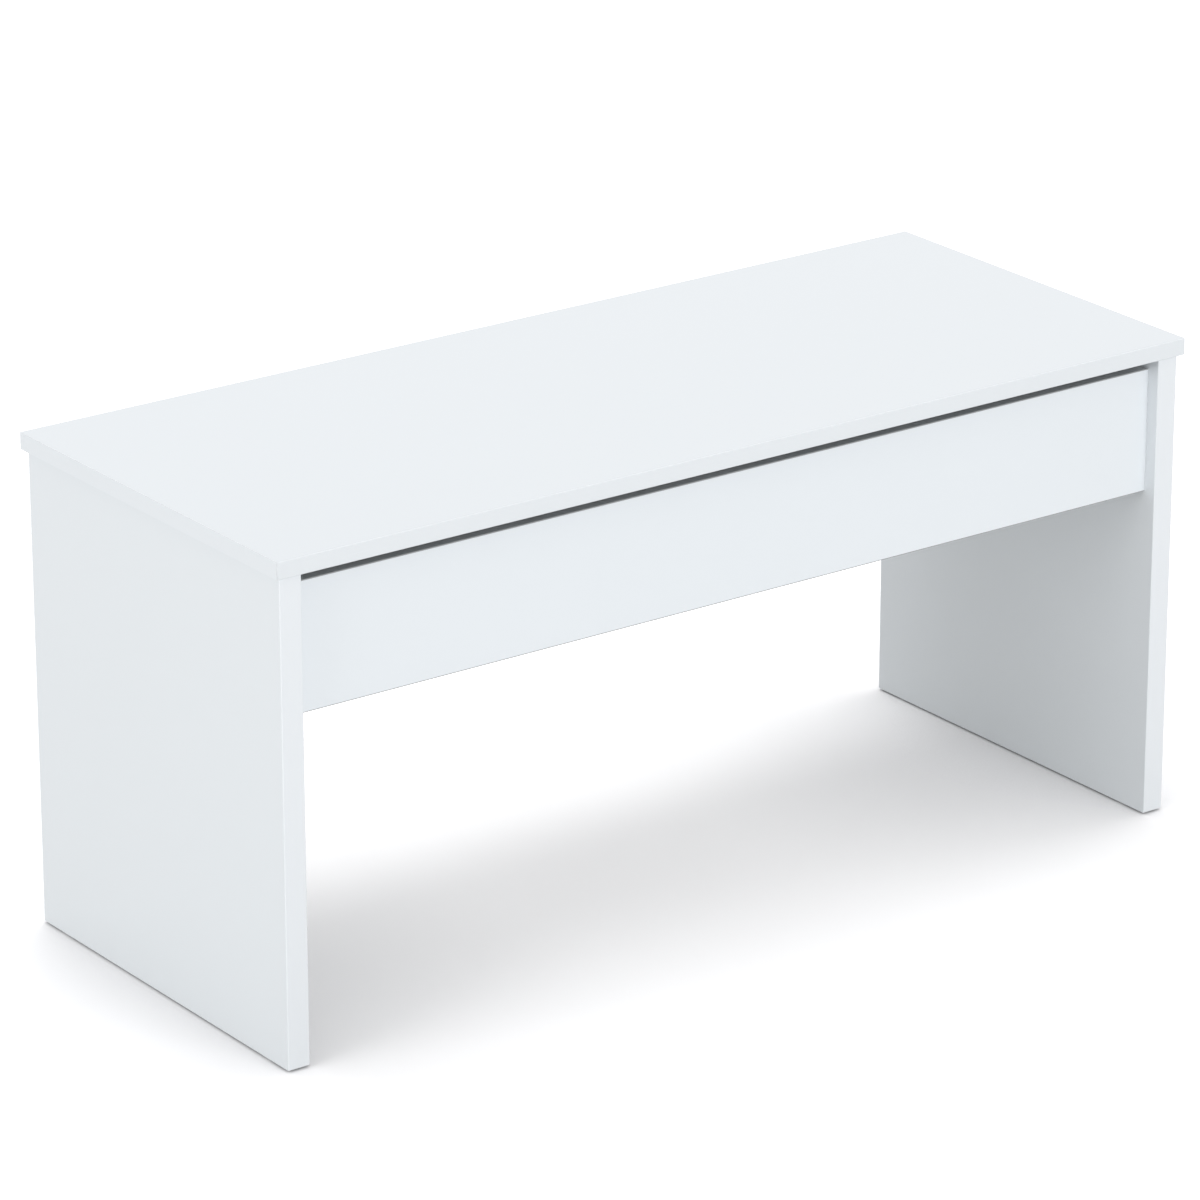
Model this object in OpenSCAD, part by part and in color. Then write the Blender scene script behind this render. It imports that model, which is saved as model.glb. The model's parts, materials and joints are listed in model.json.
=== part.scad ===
// Lift-top coffee table: a lid on two spring-assisted parallel-arm lifters over a storage box.
// Millimetres. X runs left to right, Y front to back, Z up from the floor, origin under the middle.

/* [Table] */
// Width of the lid, left to right
table_w = 1000; // [800:10:1300]
// Depth of the lid, front to back
table_d = 410; // [400:10:600]
// Height of the closed table
table_h = 470; // [400:5:560]

/* [Boards] */
// Thickness of the lid
lid_t = 16; // [12:1:25]
// Thickness of each side panel
side_t = 22; // [16:1:30]
// Thickness of the front and rear aprons
apron_t = 16; // [15:1:22]
// Height of the aprons
apron_h = 120; // [98:1:160]
// Thickness of the bottom board of the storage box
bottom_t = 16; // [15:1:22]
// Thickness of the glued edging strips
edging_t = 1; // [0.4:0.1:2]
// How far the lid stands past the side panels, all round
lid_overhang = 5; // [0:1:20]
// How far the aprons sit back from the side panels' edges
apron_recess = 14; // [0:1:40]
// Open height between an apron and the closed lid
finger_gap = 13; // [8:1:30]
// Gap between the closed lid and the top of the side panels
lid_gap = 0.5; // [0.3:0.1:2]

/* [Board fittings] */
// Diameter of the wooden dowels
dowel_d = 8; // [6:1:10]
// Length of the wooden dowels
dowel_len = 30; // [25:1:40]
// Diameter of the cam locks
cam_d = 15; // [12:0.5:18]
// Height of the cam locks
cam_h = 12.3; // [11:0.1:13.5]
// Distance from a board's end to the centre of its cam lock
cam_distance = 34; // [24:1:44]
// Height of a cam lock's centre above and below the middle of an apron
cam_rise = 34; // [25:1:42]
// Diameter of the floor glides
glide_d = 18; // [14:1:22]
// Thickness of the floor glides
glide_t = 2; // [2:0.5:5]
// Distance of the floor glides from the side panels' front and rear edges
glide_inset = 35; // [15:1:80]

/* [Lift arms] */
// Distance between the two pivots of an arm
arm_len = 170; // [150:1:180]
// Width of an arm
arm_w = 20; // [16:1:24]
// Thickness of an arm
arm_t = 3; // [2:0.5:4]
// Distance between the front and the rear pivot of a pair
pivot_gap = 60; // [52:1:70]
// Fall of the rear pivot below the front one, in degrees
pivot_fall = 20; // [14:1:24]
// Angle of the arms above the horizontal with the lid closed, pointing back
closed_angle = 8; // [5:1:14]
// Angle of the arms at the raised stop, past the vertical
open_angle = 120; // [100:1:130]
// Distance from the front apron to the front pivot
pivot_setback = 64; // [60:1:80]
// Height of the front pivot above the bottom board
pivot_height = 47; // [44:1:52]

/* [Lift plates and pins] */
// Thickness of the base plates and lid brackets
plate_t = 2.5; // [2:0.5:4]
// Width of the lid brackets' flange
flange_w = 26; // [20:1:40]
// Height of the stiffening rib along a lid bracket
rib_h = 12; // [8:1:12.5]
// Width of the lip along the foot of a base plate
lip_w = 11; // [5:1:12]
// Diameter of the pivot pins
pin_d = 8; // [6:0.5:10]
// Thickness of the nylon washers
washer_t = 1; // [0.5:0.1:2]
// Diameter of the rubber stop sleeves
sleeve_d = 10; // [8:0.5:12]

/* [Lift springs] */
// Outer diameter of the spring's coils
spring_d = 16; // [12:1:18]
// Diameter of the spring's wire
wire_d = 2; // [1.5:0.1:2.5]
// Distance from the front pivot to the spring's lug on the arm
lug_radius = 25; // [20:1:27]
// Diameter of the two posts that the spring hooks on
post_d = 7; // [5:0.5:8]

/* [Screws] */
// Thread diameter of the screws
screw_d = 4; // [3:0.5:5]
// Head diameter of the screws
screw_head_d = 8; // [6:0.5:9]
// Length of the screws under the head
screw_len = 14; // [10:0.5:15]

/* [Hidden] */
$fn = 64;

LEFT = -1;
RIGHT = 1;
FRONT = -1;
REAR = 1;
running_fit = 0.05;   // radial room round a pin that turns
hole_room = 0.1;      // radial room round a dowel, bolt, screw or cam
stop_room = 0.3;      // room between an arm and the rubber it stops on
butt_seam = 0.1;      // hairline between two edging strips that meet
cut = 1;              // how far a cutter runs past the face it opens

// Side panels
side_x = table_w / 2 - lid_overhang;                 // outer face
inner_x = side_x - side_t;                           // inner face
side_y = table_d / 2 - lid_overhang;                 // front and rear edges
lid_z = table_h - lid_t;                             // underside of the lid
side_top = lid_z - lid_gap;

// Aprons and bottom board
apron_y = side_y - apron_recess;                     // outer face
box_y = apron_y - apron_t;                           // inner face
apron_top = lid_z - finger_gap;
apron_foot = apron_top - apron_h;
box_z = apron_foot + bottom_t;                       // floor of the storage box
apron_mid = apron_foot + apron_h / 2;
bottom_mid = apron_foot + bottom_t / 2;

// Layers of a lifter, as distances in from the side panel's inner face
base_washer_u = plate_t;
arm_u = base_washer_u + washer_t;
lid_washer_u = arm_u + arm_t;
web_u = lid_washer_u + washer_t;
pin_head_t = 2;
pin_head_d = pin_d + 6;
washer_d = pin_d + 8;
spring_u = web_u + plate_t + pin_head_t + 2 + spring_d / 2;
post_end_u = spring_u + wire_d / 2 + 3;
collar_t = 1.5;
flange_u = web_u + flange_w;

// Pivots in the side view, as [y, z]
function polar(r, a) = [r * cos(a), r * sin(a)];
front_pivot = [pivot_setback - box_y, box_z + pivot_height];
rear_pivot = front_pivot + polar(pivot_gap, -pivot_fall);
base_pivots = [front_pivot, rear_pivot];
front_tip = front_pivot + polar(arm_len, closed_angle);
rear_tip = rear_pivot + polar(arm_len, closed_angle);
lid_pivots = [front_tip, rear_tip];
eye_r = arm_w / 2 + 3;
sweep = open_angle - closed_angle;

// The stops: one ahead of the raised front arm, one under the lowered rear arm
stop_reach = arm_w / 2 + sleeve_d / 2 + stop_room;
raised_stop = front_pivot + polar(42, open_angle) + polar(stop_reach, open_angle + 90);
lowered_stop = rear_pivot + polar(62, closed_angle) + polar(stop_reach, closed_angle - 90);
stops = [raised_stop, lowered_stop];
stud_d = sleeve_d - 4;

// The spring pulls from the anchor, low at the back of the base plate, on the lug below the front
// pivot. The lug's two end places and the anchor lie on one line, so the spring only shortens.
anchor = front_pivot + [157, -27];
anchor_reach = norm(anchor - front_pivot);
anchor_bearing = atan2(anchor[1] - front_pivot[1], anchor[0] - front_pivot[0]);
chord_depth = lug_radius * cos(sweep / 2);
chord_bearing = anchor_bearing + asin(chord_depth / anchor_reach);
lug_closed = front_pivot + polar(lug_radius, chord_bearing - 90 - sweep / 2);
lug_r = post_d / 2 + 4.5;
spring_span = norm(lug_closed - anchor);
spring_bearing = atan2(lug_closed[1] - anchor[1], lug_closed[0] - anchor[0]);
loop_r = (post_d + wire_d) / 2 + 0.5;                // middle of the end loops' wire

// Base plate
plate_foot = box_z + 1.5;
plate_front = -box_y + 11;
plate_rear = anchor[0] + 14;
plate_top = raised_stop[1] + sleeve_d / 2 + 5;
base_screws = [[plate_front + 9, plate_foot + 12], [plate_front + 9, front_pivot[1] + 1],
    [rear_pivot[0] + 27, plate_foot + 8.5], [(lowered_stop[0] + anchor[0]) / 2, plate_foot + 8.5]];

// Lid bracket
rib_front = -box_y + 19;
rib_rear = rear_tip[0] + 30;
bracket_screws_y = [for (i = [0:3]) rib_front + 20 + i * (rib_rear - rib_front - 40) / 3];
bracket_screw_u = web_u + flange_w * 0.6;
screw_head_t = 2.4;

// Cam joints as [point on the side panel's face, way into the board, way to the cam's face]
apron_cams = [for (s = [LEFT, RIGHT], f = [FRONT, REAR], r = [-1, 1])
    [[s * inner_x, f * (apron_y - apron_t / 2), apron_mid + r * cam_rise], [-s, 0, 0], [0, -f, 0]]];
bottom_cams = [for (s = [LEFT, RIGHT], f = [FRONT, REAR])
    [[s * inner_x, f * box_y * 0.6, bottom_mid], [-s, 0, 0], [0, 0, -1]]];
cam_joints = concat(apron_cams, bottom_cams);

// Dowels as [middle of the joint face, way into the second board, depth in the first board]
side_dowels = [for (s = [LEFT, RIGHT], f = [FRONT, REAR])
    [[s * inner_x, f * (apron_y - apron_t / 2), apron_mid], [-s, 0, 0], 12]];
end_dowels = [for (s = [LEFT, RIGHT], f = [FRONT, REAR])
    [[s * inner_x, f * box_y * 0.3, bottom_mid], [-s, 0, 0], 12]];
long_dowels = [for (f = [FRONT, REAR], i = [-1, 0, 1])
    [[i * inner_x * 0.62, f * box_y, bottom_mid], [0, -f, 0], apron_t - 5]];
dowels = concat(side_dowels, end_dowels, long_dowels);

// Places its children with local X along a, local Z along c and the origin at p.
module set_at(p, a, c) {
    b = cross(c, a);
    multmatrix([[a[0], b[0], c[0], p[0]], [a[1], b[1], c[1], p[1]], [a[2], b[2], c[2], p[2]], [0, 0, 0, 1]])
        children();
}

// The lifters and side panels are drawn for the right side and mirrored for the left.
module on_side(s) {
    if (s == RIGHT) children();
    else mirror([1, 0, 0]) children();
}

// A plate of thickness t in the side view, u in from the side panel.
module side_plate(u, t) {
    translate([inner_x - u - t, 0, 0]) rotate([90, 0, 90]) linear_extrude(t) children();
}

// A round bar along X at a side view point, from u over a length.
module side_bar(at, u, len, d) {
    translate([inner_x - u - len, at[0], at[1]]) rotate([0, 90, 0]) cylinder(h = len, d = d);
}

module dot(at, d) {
    translate(at) circle(d = d);
}

// Cutters and pieces of the board joints

module dowel_at(d) {
    set_at(d[0] - d[1] * d[2], d[1], [d[1][1], d[1][0], 0]) rotate([0, 90, 0]) children();
}

module dowel() {
    tip = 1.5;
    body = dowel_len - 2 * tip;
    color("tan") union() {
        translate([0, 0, tip]) cylinder(h = body, d = dowel_d);
        cylinder(h = tip, d1 = dowel_d - 2, d2 = dowel_d);
        translate([0, 0, tip + body]) cylinder(h = tip, d1 = dowel_d, d2 = dowel_d - 2);
    }
}

module dowel_bore() {
    translate([0, 0, -cut]) cylinder(h = dowel_len + 2 * cut, r = dowel_d / 2 + hole_room);
}

// A cam bolt: thread in the side panel, then collar, shank, neck and head in the board's end.
bolt_thread = 11;
bolt_head_x = cam_distance - 1;
bolt_profile = [[-bolt_thread, 2.5], [1.5, 3.8], [cam_distance - cam_d / 2 - 2, 3], [bolt_head_x - 3.5, 1.8],
    [bolt_head_x, 3.2]];

module cam_bolt() {
    // Each entry is where a step ends and its radius, after the first, which is the thread.
    color("silver") rotate([0, 90, 0]) union() {
        translate([0, 0, bolt_profile[0][0]]) cylinder(h = bolt_thread, r = bolt_profile[0][1]);
        cylinder(h = bolt_profile[1][0], r = bolt_profile[1][1]);
        for (i = [2:4])
            translate([0, 0, bolt_profile[i - 1][0]])
                cylinder(h = bolt_profile[i][0] - bolt_profile[i - 1][0], r = bolt_profile[i][1]);
    }
}

// Bore for the bolt in the side panel and in the board's end, up to the cam.
module bolt_bores() {
    rotate([0, 90, 0]) {
        translate([0, 0, -bolt_thread - cut]) cylinder(h = bolt_thread + 2 * cut, r = 2.5 + hole_room);
        cylinder(h = cam_distance - cut, r = 4);
    }
}

// The cam lies in a blind bore that opens on the board's inner face.
module cam_place(board_t) {
    translate([cam_distance, 0, board_t / 2 - cam_h]) children();
}

module cam_bore(board_t) {
    cam_place(board_t) translate([0, 0, -hole_room])
        cylinder(h = cam_h + cut, r = cam_d / 2 + hole_room);
}

cap_stem_d = 3;
cap_stem_len = 1.8;

module cam_lock(board_t) {
    color("silver") difference() {
        cam_place(board_t) cylinder(h = cam_h, d = cam_d);
        rotate([0, 90, 0]) translate([0, 0, cam_distance - cam_d]) cylinder(h = cam_d + 3, d = 7.4);
        cam_place(board_t) translate([0, 0, cam_h - cap_stem_len - 0.2])
            cylinder(h = cap_stem_len + cut, d = cap_stem_d + 0.4);
        for (turn = [0, 90])
            cam_place(board_t) translate([0, 0, cam_h - 1]) rotate(turn)
                translate([-4.5, -0.8, 0]) cube([9, 1.6, 1 + cut]);
    }
}

module cam_cap(board_t) {
    color("white") translate([cam_distance, 0, board_t / 2]) {
        cylinder(h = 0.8, d1 = cam_d + 2, d2 = cam_d + 1);
        translate([0, 0, -cap_stem_len]) cylinder(h = cap_stem_len, d = cap_stem_d);
    }
}

module board_fixings(board_t, cams) {
    for (j = cams) set_at(j[0], j[1], j[2]) {
        bolt_bores();
        cam_bore(board_t);
    }
    for (d = dowels) dowel_at(d) dowel_bore();
}

// Screws

module screw() {
    color("lightgray") union() {
        translate([0, 0, -screw_len]) cylinder(h = screw_len, d = screw_d);
        difference() {
            cylinder(h = screw_head_t, d1 = screw_head_d, d2 = screw_head_d - 2.5);
            for (turn = [0, 90])
                translate([0, 0, screw_head_t - 1.2]) rotate(turn)
                    translate([-2, -0.5, 0]) cube([4, 1, 1.2 + cut]);
        }
    }
}

module screw_bore() {
    translate([0, 0, -screw_len - cut]) cylinder(h = screw_len + 2 * cut, r = screw_d / 2 + hole_room);
}

module at_base_screws(s) {
    on_side(s) for (p = base_screws)
        set_at([inner_x - plate_t, p[0], p[1]], [0, 0, 1], [-1, 0, 0]) children();
}

module at_bracket_screws(s) {
    on_side(s) for (y = bracket_screws_y)
        set_at([inner_x - bracket_screw_u, y, lid_z - plate_t], [1, 0, 0], [0, 0, -1]) children();
}

// Boards

module glide_spots(s) {
    for (f = [FRONT, REAR])
        translate([s * (side_x - side_t / 2), f * (side_y - glide_inset), 0]) children();
}

glide_nail_d = 2.4;
glide_nail_len = 14;

module side_panel(s) {
    color("white") difference() {
        on_side(s) translate([inner_x, edging_t - side_y, glide_t])
            cube([side_t, 2 * (side_y - edging_t), side_top - edging_t - glide_t]);
        for (j = cam_joints) if (j[1][0] == -s) set_at(j[0], j[1], j[2]) bolt_bores();
        for (d = concat(side_dowels, end_dowels)) if (d[1][0] == -s) dowel_at(d) dowel_bore();
        at_base_screws(s) screw_bore();
        glide_spots(s) cylinder(h = glide_nail_len + glide_t + cut, r = glide_nail_d / 2 + hole_room);
    }
}

module side_edging(s) {
    color("whitesmoke") on_side(s) {
        for (y = [-side_y, side_y - edging_t])
            translate([inner_x, y, glide_t]) cube([side_t, edging_t, side_top - glide_t]);
        top_strip = 2 * (side_y - edging_t - butt_seam);
        translate([inner_x, -top_strip / 2, side_top - edging_t]) cube([side_t, top_strip, edging_t]);
    }
}

module apron(f) {
    color("white") difference() {
        translate([-inner_x, min(f * apron_y, f * box_y), apron_foot + edging_t])
            cube([2 * inner_x, apron_t, apron_h - 2 * edging_t]);
        board_fixings(apron_t, [for (j = apron_cams) if (j[2][1] == -f) j]);
    }
}

module apron_edging(f) {
    color("whitesmoke") for (z = [apron_foot, apron_top - edging_t])
        translate([-inner_x, min(f * apron_y, f * box_y), z]) cube([2 * inner_x, apron_t, edging_t]);
}

module bottom_board() {
    color("white") difference() {
        translate([-inner_x, -box_y, apron_foot]) cube([2 * inner_x, 2 * box_y, bottom_t]);
        board_fixings(bottom_t, bottom_cams);
    }
}

module floor_glides() {
    color("white") for (s = [LEFT, RIGHT]) glide_spots(s) {
        cylinder(h = glide_t, d1 = glide_d - 1.5, d2 = glide_d);
        translate([0, 0, glide_t]) cylinder(h = glide_nail_len, d = glide_nail_d);
    }
}

module lid_board() {
    color("white") difference() {
        translate([edging_t - table_w / 2, edging_t - table_d / 2, lid_z])
            cube([table_w - 2 * edging_t, table_d - 2 * edging_t, lid_t]);
        for (s = [LEFT, RIGHT]) at_bracket_screws(s) screw_bore();
    }
}

module lid_edging() {
    color("whitesmoke") {
        for (y = [-table_d / 2, table_d / 2 - edging_t])
            translate([-table_w / 2, y, lid_z]) cube([table_w, edging_t, lid_t]);
        end_strip = table_d - 2 * (edging_t + butt_seam);
        for (x = [-table_w / 2, table_w / 2 - edging_t])
            translate([x, -end_strip / 2, lid_z]) cube([edging_t, end_strip, lid_t]);
    }
}

// Lifters

module base_plate(s) {
    color("silver") on_side(s) union() {
        side_plate(0, plate_t) difference() {
            polygon([[plate_front, plate_foot], [plate_rear, plate_foot], [plate_rear, anchor[1] + 12],
                [lowered_stop[0] - 8, front_pivot[1] + 10], [front_pivot[0] + 14, plate_top - 6],
                [raised_stop[0] + 10, plate_top], [plate_front + 6, plate_top],
                [plate_front, plate_top - 6]]);
            for (p = base_pivots) dot(p, pin_d + 2 * running_fit);
            for (p = stops) dot(p, stud_d + 2 * running_fit);
            dot(anchor, post_d + 2 * running_fit);
            for (p = base_screws) dot(p, screw_d + 1);
        }
        translate([inner_x - plate_t - lip_w, plate_front, plate_foot])
            cube([lip_w + plate_t / 2, plate_rear - plate_front, plate_t]);
    }
}

module washer_ring(at, u) {
    side_plate(u, washer_t) difference() {
        dot(at, washer_d);
        dot(at, pin_d + 2 * running_fit);
    }
}

module base_pivots(s) {
    color("gray") on_side(s) for (p = base_pivots) union() {
        side_bar(p, 0, web_u, pin_d);
        side_bar(p, web_u, pin_head_t, pin_head_d);
    }
}

module base_washers(s) {
    color("ivory") on_side(s) for (p = base_pivots, u = [base_washer_u, lid_washer_u]) washer_ring(p, u);
}

module stop_studs(s) {
    color("gray") on_side(s) for (p = stops) union() {
        side_bar(p, 0, web_u, stud_d);
        side_bar(p, web_u, 1.5, sleeve_d);
    }
}

module stop_sleeves(s) {
    color("dimgray") on_side(s) for (p = stops)
        side_plate(plate_t + 0.2, web_u - plate_t - 0.4) difference() {
            dot(p, sleeve_d);
            dot(p, stud_d + 2 * hole_room);
        }
}

// A post through a plate, with a collar on the plate and a groove in which the spring's loop lies.
module spring_post(at, from_u, through) {
    groove = wire_d + 1;
    side_bar(at, from_u, spring_u - groove / 2 - from_u, post_d);
    side_bar(at, from_u + through, collar_t, post_d + 4);
    side_bar(at, spring_u - groove / 2, groove, post_d - 1);
    side_bar(at, spring_u + groove / 2, post_end_u - spring_u - groove / 2, post_d);
}

module spring_anchor(s) {
    color("gray") on_side(s) union() spring_post(anchor, 0, plate_t);
}

module spring_lug(s) {
    color("gray") on_side(s) union() spring_post(lug_closed, arm_u, arm_t);
}

// The spring's envelope: a tube for the coils, an end disc and a loop at each end.
module spring(s) {
    first = loop_r - wire_d / 4;
    coil_len = spring_span - 2 * first;
    color("darkgray") on_side(s) translate([inner_x - spring_u, anchor[0], anchor[1]])
        rotate([spring_bearing, 0, 0]) union() {
            for (y = [0, spring_span])
                translate([0, y, 0]) rotate([0, 90, 0]) rotate_extrude()
                    translate([loop_r, 0]) circle(d = wire_d);
            translate([0, first, 0]) rotate([-90, 0, 0]) difference() {
                cylinder(h = coil_len, d = spring_d);
                translate([0, 0, wire_d]) cylinder(h = coil_len - 2 * wire_d, d = spring_d - 2 * wire_d);
            }
        }
}

// An arm's outline between its two eyes, with a tail to the spring's lug if it has one.
module arm_outline(from, to, tail) {
    across = polar(arm_w / 2, closed_angle + 90);
    difference() {
        union() {
            polygon([from - across, to - across, to + across, from + across]);
            dot(from, 2 * eye_r);
            dot(to, 2 * eye_r);
            for (p = tail) {
                way = p - from;
                side = [-way[1], way[0]] / norm(way) * (lug_r - 1.5);
                dot(p, 2 * lug_r);
                polygon([from - side, p - side, p + side, from + side]);
            }
        }
        for (p = [from, to]) dot(p, pin_d + 2 * running_fit);
        for (p = tail) dot(p, post_d + 2 * running_fit);
    }
}

module front_arm(s) {
    color("silver") on_side(s) side_plate(arm_u, arm_t) arm_outline(front_pivot, front_tip, [lug_closed]);
}

module rear_arm(s) {
    color("silver") on_side(s) side_plate(arm_u, arm_t) arm_outline(rear_pivot, rear_tip, []);
}

module lid_bracket(s) {
    rib_foot = lid_z - rib_h;
    color("silver") on_side(s) union() {
        side_plate(web_u, plate_t) difference() {
            union() {
                translate([rib_front, rib_foot]) square([rib_rear - rib_front, rib_h]);
                polygon([[front_tip[0] - 40, rib_foot + 1], front_tip - [eye_r - 1.5, 0],
                    rear_tip - [2, eye_r - 1.5], rear_tip + [eye_r - 1.5, 0], [rib_rear - 4, rib_foot + 1]]);
                for (p = lid_pivots) dot(p, 2 * eye_r);
            }
            for (p = lid_pivots) dot(p, pin_d + 2 * running_fit);
        }
        difference() {
            translate([inner_x - flange_u, rib_front, lid_z - plate_t])
                cube([flange_w - plate_t / 2, rib_rear - rib_front, plate_t]);
            for (y = bracket_screws_y)
                translate([inner_x - bracket_screw_u, y, lid_z - plate_t - cut])
                    cylinder(h = plate_t + 2 * cut, d = screw_d + 1);
        }
    }
}

module lid_pivots(s) {
    color("gray") on_side(s) for (p = lid_pivots) union() {
        side_bar(p, arm_u - pin_head_t, pin_head_t, pin_head_d);
        side_bar(p, arm_u, web_u + plate_t - arm_u, pin_d);
        side_bar(p, web_u + plate_t, pin_head_t, pin_head_d - 2);
    }
}

module lid_washers(s) {
    color("ivory") on_side(s) for (p = lid_pivots) washer_ring(p, lid_washer_u);
}

side_panel(LEFT);  // left_side_panel
side_panel(RIGHT);  // right_side_panel
side_edging(LEFT);  // left_side_edging
side_edging(RIGHT);  // right_side_edging
apron(FRONT);  // front_apron
apron(REAR);  // rear_apron
apron_edging(FRONT);  // front_apron_edging
apron_edging(REAR);  // rear_apron_edging
bottom_board();
floor_glides();
for (d = dowels) dowel_at(d) dowel();  // wooden_dowels
for (j = cam_joints) set_at(j[0], j[1], j[2]) cam_bolt();  // cam_bolts
union() {  // cam_locks
    for (j = apron_cams) set_at(j[0], j[1], j[2]) cam_lock(apron_t);
    for (j = bottom_cams) set_at(j[0], j[1], j[2]) cam_lock(bottom_t);
}
union() {  // cam_caps
    for (j = apron_cams) set_at(j[0], j[1], j[2]) cam_cap(apron_t);
    for (j = bottom_cams) set_at(j[0], j[1], j[2]) cam_cap(bottom_t);
}
base_plate(LEFT);  // left_base_plate
base_plate(RIGHT);  // right_base_plate
base_pivots(LEFT);  // left_base_pivots
base_pivots(RIGHT);  // right_base_pivots
base_washers(LEFT);  // left_base_washers
base_washers(RIGHT);  // right_base_washers
stop_studs(LEFT);  // left_stop_studs
stop_studs(RIGHT);  // right_stop_studs
stop_sleeves(LEFT);  // left_stop_sleeves
stop_sleeves(RIGHT);  // right_stop_sleeves
spring_anchor(LEFT);  // left_spring_anchor
spring_anchor(RIGHT);  // right_spring_anchor
spring(LEFT);  // left_spring
spring(RIGHT);  // right_spring
for (s = [LEFT, RIGHT]) at_base_screws(s) screw();  // base_plate_screws
front_arm(LEFT);  // left_front_arm
front_arm(RIGHT);  // right_front_arm
rear_arm(LEFT);  // left_rear_arm
rear_arm(RIGHT);  // right_rear_arm
spring_lug(LEFT);  // left_spring_lug
spring_lug(RIGHT);  // right_spring_lug
lid_board();
lid_edging();
lid_bracket(LEFT);  // left_lid_bracket
lid_bracket(RIGHT);  // right_lid_bracket
lid_pivots(LEFT);  // left_lid_pivots
lid_pivots(RIGHT);  // right_lid_pivots
lid_washers(LEFT);  // left_lid_washers
lid_washers(RIGHT);  // right_lid_washers
for (s = [LEFT, RIGHT]) at_bracket_screws(s) screw();  // lid_bracket_screws
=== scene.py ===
import json
import math

import bmesh
import bpy
from mathutils import Matrix, Vector

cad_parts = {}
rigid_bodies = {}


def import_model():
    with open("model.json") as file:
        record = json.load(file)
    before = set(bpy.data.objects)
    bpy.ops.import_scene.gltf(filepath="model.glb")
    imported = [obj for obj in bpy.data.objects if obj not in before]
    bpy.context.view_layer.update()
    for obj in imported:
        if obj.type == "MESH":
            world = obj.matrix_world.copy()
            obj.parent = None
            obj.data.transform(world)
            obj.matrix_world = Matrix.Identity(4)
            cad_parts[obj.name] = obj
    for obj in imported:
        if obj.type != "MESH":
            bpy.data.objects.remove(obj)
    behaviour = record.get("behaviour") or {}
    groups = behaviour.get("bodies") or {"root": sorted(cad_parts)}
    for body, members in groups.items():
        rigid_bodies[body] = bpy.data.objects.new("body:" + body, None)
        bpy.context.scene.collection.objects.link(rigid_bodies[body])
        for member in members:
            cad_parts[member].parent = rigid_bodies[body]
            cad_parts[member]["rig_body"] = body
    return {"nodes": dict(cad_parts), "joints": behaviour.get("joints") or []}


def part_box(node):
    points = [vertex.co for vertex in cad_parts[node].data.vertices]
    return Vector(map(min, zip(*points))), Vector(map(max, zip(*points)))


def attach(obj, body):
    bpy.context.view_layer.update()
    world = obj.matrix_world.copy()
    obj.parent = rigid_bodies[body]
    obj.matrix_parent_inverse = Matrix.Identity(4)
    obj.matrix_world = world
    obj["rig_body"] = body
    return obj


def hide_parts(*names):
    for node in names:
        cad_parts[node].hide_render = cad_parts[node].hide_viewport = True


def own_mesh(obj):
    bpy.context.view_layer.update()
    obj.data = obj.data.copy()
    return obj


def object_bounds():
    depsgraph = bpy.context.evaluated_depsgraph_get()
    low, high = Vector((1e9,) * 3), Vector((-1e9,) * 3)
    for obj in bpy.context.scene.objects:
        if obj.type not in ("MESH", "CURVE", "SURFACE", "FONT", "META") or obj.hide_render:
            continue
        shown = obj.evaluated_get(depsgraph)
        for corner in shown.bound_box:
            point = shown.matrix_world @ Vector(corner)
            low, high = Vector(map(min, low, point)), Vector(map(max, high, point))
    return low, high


for leftover in list(bpy.data.objects):
    bpy.data.objects.remove(leftover)
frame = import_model()
cad_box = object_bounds()

# ---- Side panels ----
# Two upright panels of 22 mm fibreboard carry everything. Their faces are sprayed with white lacquer and
# polished to a high gloss, and the arrises are broken with fine paper before spraying.

SIDES = ("left", "right")


class Shade:
    """A socket of a material's node tree, with plain arithmetic on it."""

    def __init__(self, tree, socket):
        self.tree = tree
        self.socket = socket

    def node(self, kind, settings=None, sockets=None, output=0):
        """Adds a node of any kind: its settings first, then the values or links of its sockets."""
        new = self.tree.nodes.new("ShaderNode" + kind)
        for name, value in (settings or {}).items():
            if name == "stops":
                ramp = new.color_ramp.elements
                while len(ramp) < len(value):
                    ramp.new(0.5)
                for stop, (position, colour) in zip(ramp, value):
                    stop.position = position
                    stop.color = (*colour, 1)
            else:
                setattr(new, name, value)
        for name, value in (sockets or {}).items():
            into(new.inputs, name, value)
        return Shade(self.tree, new.outputs[output])

    def maths(self, operation, first, second):
        return self.node("Math", {"operation": operation}, {"Value": first, "Value_001": second})

    def __add__(self, other):
        return self.maths("ADD", self, other)

    def __mul__(self, other):
        return self.maths("MULTIPLY", self, other)

    __radd__ = __add__
    __rmul__ = __mul__


def into(sockets, name, value):
    """Links a Shade to the named input, or sets the input's own value."""
    target = next(s for s in sockets if name in (s.identifier, s.name))
    if isinstance(value, Shade):
        value.tree.links.new(value.socket, target)
    elif isinstance(value, tuple) and target.type == "RGBA":
        target.default_value = (*value, 1)
    else:
        target.default_value = value


def new_finish(name, constants):
    """A material with one main shader: gives the material, its inputs and the piece's own coordinates."""
    finish = bpy.data.materials.new(name)
    finish.use_nodes = True
    tree = finish.node_tree
    inputs = tree.nodes["Principled BSDF"].inputs
    for socket, value in constants.items():
        into(inputs, socket, value)
    return finish, inputs, Shade(tree, tree.nodes.new("ShaderNodeTexCoord").outputs["Object"])


def speckle(place, scale, detail=2, stretch=(1, 1, 1)):
    """Soft noise from 0 to 1 with its grain stretched along the axes."""
    stretched = place.node("Mapping", None, {"Vector": place, "Scale": stretch})
    return place.node("TexNoise", None, {"Vector": stretched, "Scale": scale, "Detail": detail})


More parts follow.
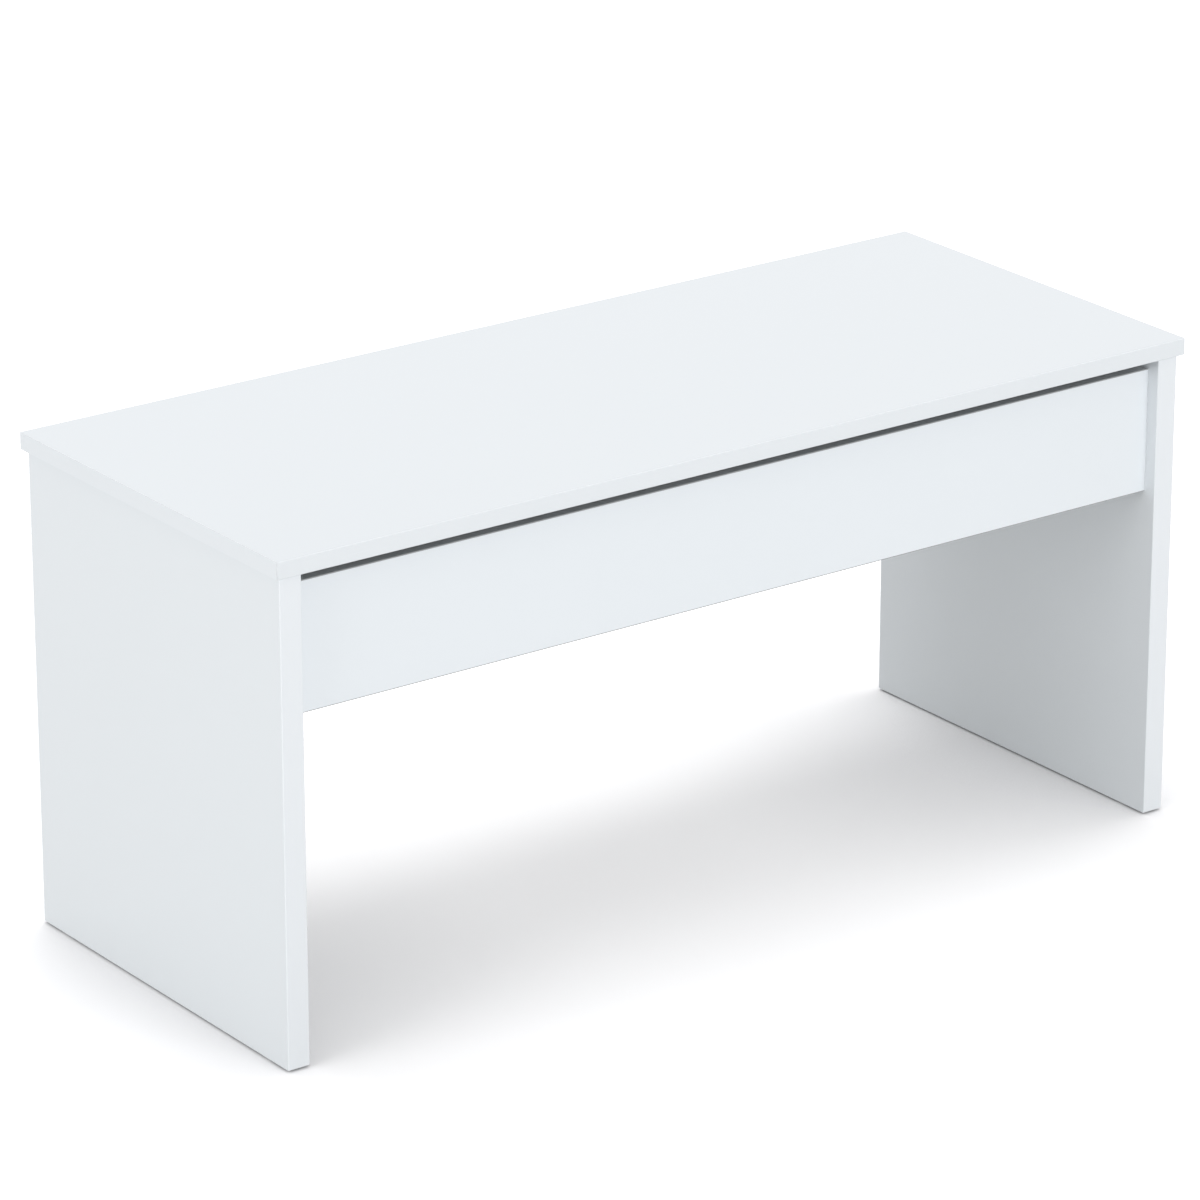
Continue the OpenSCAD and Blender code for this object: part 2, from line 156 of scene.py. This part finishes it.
def blend_colours(mask, low, high):
    """The low colour where the mask is 0, and the high one where it is 1."""
    colour_result = 2
    mix = {"Factor_Float": mask, "A_Color": low, "B_Color": high}
    return mask.node("Mix", {"data_type": "RGBA"}, mix, colour_result)


def relief(height, depth, strength=1.0):
    """Surface relief of a real depth in metres."""
    return height.node("Bump", None, {"Height": height, "Distance": depth, "Strength": strength})


def white_lacquer(name, white, shade):
    """Polished lacquer: faint cloudiness, fine orange peel, and wiping haze in the gloss."""
    peel_depth = 0.000012
    finish, inputs, place = new_finish(name, {"IOR": 1.5, "Coat Weight": 0.6, "Coat Roughness": 0.04})
    cloud = speckle(place, 3.5, 3)
    peel = speckle(place, 260, 2)
    haze = speckle(place, 9, 4, (1, 2.2, 1))
    into(inputs, "Base Color", blend_colours(cloud, shade, white))
    into(inputs, "Roughness", 0.13 + haze * 0.09)
    into(inputs, "Normal", relief(peel, peel_depth))
    return finish


def eased(node, arris, rim=None):
    """A node's shape with its sharp edges rounded: rim on the edges of its box, arris on the rest."""
    same_point = 0.000002
    same_plane = 0.00001
    flat_angle = math.radians(0.2)
    sharp_angle = math.radians(35)
    shape = bmesh.new()
    shape.from_mesh(frame["nodes"][node].data)
    bmesh.ops.remove_doubles(shape, verts=shape.verts, dist=same_point)
    bmesh.ops.dissolve_limit(shape, angle_limit=flat_angle, verts=shape.verts, edges=shape.edges)
    low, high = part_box(node)

    def on_rim(edge):
        planes = 0
        for axis in range(3):
            ends = [v.co[axis] for v in edge.verts]
            planes += any(max(abs(end - side[axis]) for end in ends) < same_plane for side in (low, high))
        return planes > 1

    sharp = [e for e in shape.edges if len(e.link_faces) == 2 and e.calc_face_angle() > sharp_angle]
    rims = [e for e in sharp if rim and on_rim(e)]
    others = [e for e in sharp if e not in set(rims)]
    for edges, width in ((others, arris), (rims, rim)):
        if edges:
            bmesh.ops.bevel(shape, geom=[e for e in edges if e.is_valid], offset=width, segments=2,
                            profile=0.5, affect="EDGES", clamp_overlap=True)
    mesh = bpy.data.meshes.new(node + "_piece")
    shape.to_mesh(mesh)
    shape.free()
    return placed(mesh)


def placed(mesh):
    """A smooth-shaded object of a mesh, whose large flat faces stay flat to the eye."""
    crease_angle = math.radians(50)
    for face in mesh.polygons:
        face.use_smooth = True
    mesh.set_sharp_from_angle(angle=crease_angle)
    piece = bpy.data.objects.new(mesh.name, mesh)
    bpy.context.scene.collection.objects.link(piece)
    even = piece.modifiers.new("even", "WEIGHTED_NORMAL")
    even.keep_sharp = True
    return piece


def fit(piece, node, finish):
    """The piece takes its node's place: the same body and a finish of its own."""
    piece.data.materials.clear()
    piece.data.materials.append(finish)
    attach(piece, frame["nodes"][node]["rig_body"])
    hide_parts(node)
    return piece


panel_white = (0.786, 0.822, 0.848)
panel_shade = (0.772, 0.809, 0.836)
panel_arris = 0.00004
panel_lacquer = white_lacquer("panel_lacquer", panel_white, panel_shade)
for side in SIDES:
    fit(eased(side + "_side_panel", panel_arris), side + "_side_panel", panel_lacquer)

# ---- Edging strips of the side panels ----
# A 1 mm strip of gloss plastic is glued along the front, rear and top of each panel, then trimmed flush
# and its outer corners rounded with a cutter, which leaves faint lengthwise lines.


def strip_plastic(name, white, shade, along):
    """Gloss edging: lengthwise trimming lines and a slightly softer gloss than the lacquer."""
    line_depth = 0.000008
    finish, inputs, place = new_finish(name, {"IOR": 1.5, "Coat Weight": 0.3, "Coat Roughness": 0.08})
    lines = speckle(place, 900, 2, tuple(0.01 if axis == along else 1 for axis in "xyz"))
    cloud = speckle(place, 5, 2)
    into(inputs, "Base Color", blend_colours(cloud, shade, white))
    into(inputs, "Roughness", 0.2 + lines * 0.1)
    into(inputs, "Normal", relief(lines, line_depth))
    return finish


strip_white = (0.818, 0.850, 0.880)
strip_shade = (0.805, 0.838, 0.868)
strip_arris = 0.00004
strip_corner = 0.0008
upright_strip = strip_plastic("upright_strip", strip_white, strip_shade, "z")
for side in SIDES:
    fit(eased(side + "_side_edging", strip_arris, strip_corner), side + "_side_edging", upright_strip)

# ---- Aprons ----
# A front and a rear apron of 16 mm lacquered fibreboard join the panels and form the long walls of the
# storage box. A strip in mid grey closes their upper and lower edges; the grey is painted shade, for the
# dark gap under the lid's overhang.

# Painted light: these whites are lighter than the panels', though both are one lacquer, so the aprons'
# faces look more lit than the panels'.
apron_painted_light_white = (0.820, 0.860, 0.894)
apron_painted_light_darker = (0.808, 0.849, 0.883)
apron_painted_light_lacquer = white_lacquer("apron_painted_light_lacquer", apron_painted_light_white, apron_painted_light_darker)
# Painted shade: the edging's mid grey stands in for the shadow in the gap under the lid.
painted_shade_grey = (0.38, 0.39, 0.395)
painted_shade_grey_dark = (0.36, 0.37, 0.375)
painted_shade_strip = strip_plastic("painted_shade_strip", painted_shade_grey, painted_shade_grey_dark, "x")
for end in ("front", "rear"):
    fit(eased(end + "_apron", panel_arris), end + "_apron", apron_painted_light_lacquer)
    fit(eased(end + "_apron_edging", strip_arris, strip_corner), end + "_apron_edging", painted_shade_strip)

# ---- Bottom board ----
# The floor of the storage box is a 16 mm board between panels and aprons, faced with white melamine paper
# with a fine matte pore instead of lacquer.


def melamine(name, white, shade):
    """Melamine paper: an even fine pore and a soft sheen."""
    pore_depth = 0.00003
    finish, inputs, place = new_finish(name, {"IOR": 1.5, "Coat Weight": 0.0})
    pore = speckle(place, 1400, 3)
    cloud = speckle(place, 6, 3)
    into(inputs, "Base Color", blend_colours(cloud, shade, white))
    into(inputs, "Roughness", 0.34 + pore * 0.16)
    into(inputs, "Normal", relief(pore, pore_depth))
    return finish


inside_white = (0.815, 0.822, 0.822)
inside_shade = (0.795, 0.802, 0.802)
box_melamine = melamine("box_melamine", inside_white, inside_shade)
fit(eased("bottom_board", panel_arris), "bottom_board", box_melamine)

# ---- Dowels ----
# Beech dowels with chamfered ends locate every joint between the boards. They are pressed dry into
# their bores and are hidden once the table stands.

beech_light = (0.640, 0.455, 0.270)
beech_dark = (0.480, 0.310, 0.165)
fibre_depth = 0.00005
dowel_arris = 0.0003
beech, inputs, place = new_finish("beech", {"IOR": 1.45})
fibres = speckle(place, 260, 4, (0.08, 1, 1))
flecks = speckle(place, 1500, 2, (0.3, 1, 1))
into(inputs, "Base Color", blend_colours(fibres, beech_dark, beech_light))
into(inputs, "Roughness", 0.55 + flecks * 0.2)
into(inputs, "Normal", relief(fibres, fibre_depth))
fit(eased("wooden_dowels", dowel_arris), "wooden_dowels", beech)

# ---- Cam fittings ----
# Zinc-plated bolts screw into the panels, and die-cast cams in the boards draw them tight.
# A white plastic cap covers each cam: inside the box on the aprons, and under the bottom board.


def plated_steel(name, bright, dull, roughness, grain, stretch=(1, 1, 1)):
    """Metal with a drawn or cast grain, cloudy plating and a little unevenness in its polish."""
    grain_depth = 0.00002
    finish, inputs, place = new_finish(name, {"Metallic": 1.0})
    plating = speckle(place, 70, 3)
    drawn = speckle(place, grain, 3, stretch)
    into(inputs, "Base Color", blend_colours(plating, dull, bright))
    into(inputs, "Roughness", roughness + drawn * 0.16 + plating * 0.06)
    into(inputs, "Normal", relief(drawn, grain_depth))
    return finish


def moulded_plastic(name, light, shade, roughness, texture):
    """Moulded plastic with a fine even texture."""
    texture_depth = 0.00002
    finish, inputs, place = new_finish(name, {"IOR": 1.48})
    grain = speckle(place, texture, 2)
    tone = speckle(place, 40, 2)
    into(inputs, "Base Color", blend_colours(tone, shade, light))
    into(inputs, "Roughness", roughness + grain * 0.12)
    into(inputs, "Normal", relief(grain, texture_depth))
    return finish


bright_zinc = plated_steel("bright_zinc", (0.78, 0.79, 0.80), (0.66, 0.68, 0.70), 0.2, 900)
cast_zinc = plated_steel("cast_zinc", (0.56, 0.57, 0.58), (0.46, 0.47, 0.48), 0.38, 1600)
white_plastic = moulded_plastic("white_plastic", (0.80, 0.81, 0.81), (0.77, 0.78, 0.78), 0.36, 1500)
fitting_arris = 0.0002
fit(eased("cam_bolts", fitting_arris), "cam_bolts", bright_zinc)
fit(eased("cam_locks", fitting_arris), "cam_locks", cast_zinc)
fit(eased("cam_caps", fitting_arris), "cam_caps", white_plastic)

# ---- Floor glides ----
# Four round plastic glides are nailed under the panels and keep the board edges off the floor.

glide_arris = 0.0004
fit(eased("floor_glides", glide_arris), "floor_glides", white_plastic)

# ---- Base plates of the lifters ----
# Pressed from 2.5 mm steel sheet with a turned-in foot, zinc plated, and screwed to the panels' inner
# faces. The press leaves rounded arrises and the sheet keeps its rolling grain.

sheet_zinc = plated_steel("sheet_zinc", (0.60, 0.62, 0.645), (0.46, 0.48, 0.51), 0.26, 700, (1, 0.05, 1))
sheet_arris = 0.0004
screw_arris = 0.00015
for side in SIDES:
    fit(eased(side + "_base_plate", sheet_arris), side + "_base_plate", sheet_zinc)
fit(eased("base_plate_screws", screw_arris), "base_plate_screws", bright_zinc)

# ---- Base pivots, studs and washers ----
# Steel rivets with domed heads hold the arms to the plate, between natural nylon washers.
# Two studs carry black rubber sleeves, which the arms meet at both ends of the lift.

rivet_dome = 0.0009
washer_arris = 0.0002
stud_arris = 0.0005
sleeve_arris = 0.0006
nylon = moulded_plastic("nylon", (0.79, 0.77, 0.70), (0.73, 0.71, 0.64), 0.4, 1200)
rubber = moulded_plastic("rubber", (0.030, 0.030, 0.032), (0.020, 0.020, 0.021), 0.6, 2200)
for side in SIDES:
    fit(eased(side + "_base_pivots", rivet_dome), side + "_base_pivots", bright_zinc)
    fit(eased(side + "_base_washers", washer_arris), side + "_base_washers", nylon)
    fit(eased(side + "_stop_studs", stud_arris), side + "_stop_studs", bright_zinc)
    fit(eased(side + "_stop_sleeves", sleeve_arris), side + "_stop_sleeves", rubber)

# ---- Lift arms ----
# Each lifter has a front and a rear arm of 3 mm zinc-plated steel, stamped with round eyes.
# The front arm carries a grooved post below its pivot, which the spring pulls on.

post_arris = 0.0003
for side in SIDES:
    for end in ("front", "rear"):
        fit(eased(f"{side}_{end}_arm", sheet_arris), f"{side}_{end}_arm", sheet_zinc)
    fit(eased(side + "_spring_lug", post_arris), side + "_spring_lug", bright_zinc)
    fit(eased(side + "_spring_anchor", post_arris), side + "_spring_anchor", bright_zinc)

# ---- Springs ----
# One tension spring a side, wound close from 2 mm oiled wire with a full loop at each end. It is longest
# with the lid down, and draws together as the arm's post swings towards it.

wire_r = 0.001
loop_r = 0.005
coil_turns = 57
coil_start = 0.0072
steps_a_turn = 20
spring_steel = plated_steel("spring_steel", (0.40, 0.41, 0.43), (0.27, 0.275, 0.29), 0.24, 1100)
lift = next(joint for joint in frame["joints"] if joint["name"] == "lift")


def middle(node):
    low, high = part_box(node)
    return (low + high) / 2


def hook(coil_r):
    """The end loop as (along, across, sideways) points, from its tip round the post to the first coil."""
    loop_open = 60
    loop_steps = 24
    bend_steps = 11
    bend_out = 0.003
    bend_in = 0.005
    points = []
    for step in range(loop_steps + 1):
        angle = math.radians(loop_open + step * (360 - 2 * loop_open) / loop_steps)
        points.append(Vector((loop_r * math.cos(angle), loop_r * math.sin(angle), 0)))
    leave = math.radians(90 - loop_open)
    heading = Vector((math.cos(leave), math.sin(leave), 0))
    start, end = points[-1], Vector((coil_start, 0, -coil_r))
    bends = (start, start + heading * bend_out, end - Vector((0, bend_in, 0)), end)
    for step in range(1, bend_steps):
        t = step / bend_steps
        weights = ((1 - t) ** 3, 3 * t * (1 - t) ** 2, 3 * t * t * (1 - t), t ** 3)
        points.append(sum((b * w for b, w in zip(bends, weights)), Vector((0, 0, 0))))
    return points


def wound_wire(span, coil_r):
    """The whole spring's centre line: a hook, the coils, and the same hook turned end for end."""
    rear = hook(coil_r)
    front = [Vector((span - p.x, p.y, -p.z)) for p in reversed(rear)]
    total = int((coil_turns + 0.5) * steps_a_turn)
    coils = []
    for step in range(total + 1):
        angle = math.radians(-90 + 360 * step / steps_a_turn)
        along = coil_start + (span - 2 * coil_start) * step / total
        coils.append(Vector((along, coil_r * math.cos(angle), coil_r * math.sin(angle))))
    return rear + coils + front


def wire_mesh(name, points, radius):
    """A round wire along the points, closed at both ends."""
    curve = bpy.data.curves.new(name, "CURVE")
    curve.dimensions = "3D"
    curve.bevel_depth = radius
    curve.bevel_resolution = 2
    curve.use_fill_caps = True
    spline = curve.splines.new("POLY")
    spline.points.add(len(points) - 1)
    for target, point in zip(spline.points, points):
        target.co = (*point, 1)
    carrier = bpy.data.objects.new(name, curve)
    bpy.context.scene.collection.objects.link(carrier)
    mesh = bpy.data.meshes.new_from_object(carrier.evaluated_get(bpy.context.evaluated_depsgraph_get()))
    mesh.name = name
    bpy.data.objects.remove(carrier)
    return mesh


for side in SIDES:
    low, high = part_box(side + "_spring")
    centre_x = (low.x + high.x) / 2
    coil_r = (high.x - low.x) / 2 - wire_r
    anchor = middle(side + "_spring_anchor")
    lug = middle(side + "_spring_lug")
    anchor.x = lug.x = centre_x
    along = (lug - anchor).normalized()
    across = Vector((1, 0, 0)).cross(along)
    route = [anchor + along * p.x + across * p.y + Vector((p.z, 0, 0))
             for p in wound_wire((lug - anchor).length, coil_r)]
    spring = placed(wire_mesh(side + "_spring_piece", route, wire_r))
    fit(spring, side + "_spring", spring_steel)
    pivot = Vector(lift["pos_m"])
    raised = pivot + Matrix.Rotation(math.radians(lift["range_deg"][1]), 3, "X") @ (lug - pivot)
    raised.x = centre_x
    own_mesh(spring)

# ---- Lid ----
# A 16 mm lacquered board with gloss edging all round. It covers the whole table and is the face that
# shows most, so it is polished once more than the rest.

lid_white = (0.782, 0.826, 0.864)
lid_shade = (0.770, 0.815, 0.854)
lid_strip_white = (0.786, 0.820, 0.848)
lid_strip_shade = (0.772, 0.807, 0.836)
lid_lacquer = white_lacquer("lid_lacquer", lid_white, lid_shade)
lid_strip = strip_plastic("lid_strip", lid_strip_white, lid_strip_shade, "x")
fit(eased("lid_board", panel_arris), "lid_board", lid_lacquer)
fit(eased("lid_edging", strip_arris, strip_corner), "lid_edging", lid_strip)

# ---- Lid brackets ----
# Folded from 2.5 mm zinc-plated sheet: a rib that the arms' eyes are riveted to, and a flange screwed up
# into the lid with short pan-head screws.

for side in SIDES:
    fit(eased(side + "_lid_bracket", sheet_arris), side + "_lid_bracket", sheet_zinc)
    fit(eased(side + "_lid_pivots", rivet_dome), side + "_lid_pivots", bright_zinc)
    fit(eased(side + "_lid_washers", washer_arris), side + "_lid_washers", nylon)
fit(eased("lid_bracket_screws", screw_arris), "lid_bracket_screws", bright_zinc)

# ---- Floor ----
# A seamless white studio floor. To every other piece and in reflections it is a plain light grey, and to
# the eye it is white and keeps only the table's shadow, darkened further with painted shadow, deepest
# where the table shuts it in.

floor_half = 12
floor_lit = (0.60, 0.60, 0.60)
floor_shadow = (0.64, 0.635, 0.645)
floor_open = (1.29, 1.285, 1.295)
shadow_reach = 0.35
floor_mesh = bpy.data.meshes.new("studio_floor")
corners = [(-floor_half, -floor_half, 0), (floor_half, -floor_half, 0),
           (floor_half, floor_half, 0), (-floor_half, floor_half, 0)]
floor_mesh.from_pydata(corners, [], [(0, 1, 2, 3)])
floor = bpy.data.objects.new("studio_floor", floor_mesh)
bpy.context.scene.collection.objects.link(floor)
floor_finish, inputs, place = new_finish("studio_white", {"Roughness": 1.0, "Specular IOR Level": 0.0})
# Painted shadow: where ambient occlusion finds the table near, the floor's seen colour darkens from
# floor_open towards floor_shadow.
openness = place.node("AmbientOcclusion", {"samples": 4}, {"Distance": shadow_reach}, "AO")
seen_white_and_painted_shadow = blend_colours(openness, floor_shadow, floor_open)
ray = place.node("LightPath", None, None, "Is Camera Ray")
into(inputs, "Base Color", blend_colours(ray, floor_lit, seen_white_and_painted_shadow))
floor_mesh.materials.append(floor_finish)

# ---- Light ----
# Even white light from all round, and broad soft lamps: four stand low about the table, so that its
# upright faces are as light as its lid, and one hangs high behind it and lays the shadow forwards.

ambient = 0.66
world = bpy.data.worlds.new("studio")
bpy.context.scene.world = world
world.use_nodes = True
sky = world.node_tree.nodes["Background"]
seen = Shade(world.node_tree, world.node_tree.nodes.new("ShaderNodeLightPath").outputs["Is Camera Ray"])
glossy = seen.node("LightPath", None, None, "Is Glossy Ray")
through = seen.node("LightPath", None, None, "Is Transmission Ray")
plain = seen.maths("MAXIMUM", seen.maths("MAXIMUM", seen, glossy), through)
into(sky.inputs, "Color", (1.0, 1.0, 1.0))
into(sky.inputs, "Strength", plain * (1 - ambient) + ambient)

lamp_aim = Vector((0, 0, 0.3))
for name, spot, width, energy in (("front", (0.2, -4.5, 1.2), 3, 82), ("left", (-4.5, -0.3, 1.2), 3, 76),
                                  ("right", (4.5, 0.3, 1.2), 3, 56), ("rear", (-0.6, 4.5, 1.2), 3, 36),
                                  ("high", (0.3, 1.1, 3.8), 1.4, 22)):
    lamp_data = bpy.data.lights.new(name + "_lamp", "AREA")
    lamp_data.shape = "DISK"
    lamp_data.size = width
    lamp_data.energy = energy
    lamp = bpy.data.objects.new(name + "_lamp", lamp_data)
    lamp.location = spot
    lamp.rotation_euler = (lamp_aim - lamp.location).to_track_quat("-Z", "Y").to_euler()
    bpy.context.scene.collection.objects.link(lamp)
    lamp.visible_camera = False

# ---- Camera ----
# A long lens, to the left of the front and above the lid, aimed near the middle of the table.

aim = (cad_box[0] + cad_box[1]) / 2 + Vector((-0.006, 0.015, 0.024))
distance = 5.643
turn = math.radians(36.30)
tilt = math.radians(20.75)
camera_data = bpy.data.cameras.new("camera")
camera_data.sensor_width = 36
camera_data.lens = 185.45
camera = bpy.data.objects.new("camera", camera_data)
away = Vector((-math.sin(turn) * math.cos(tilt), -math.cos(turn) * math.cos(tilt), math.sin(tilt)))
camera.location = aim + away * distance
camera.rotation_euler = (math.pi / 2 - tilt, 0, -turn)
bpy.context.scene.collection.objects.link(camera)
bpy.context.scene.camera = camera
bpy.context.scene.view_settings.view_transform = "Standard"
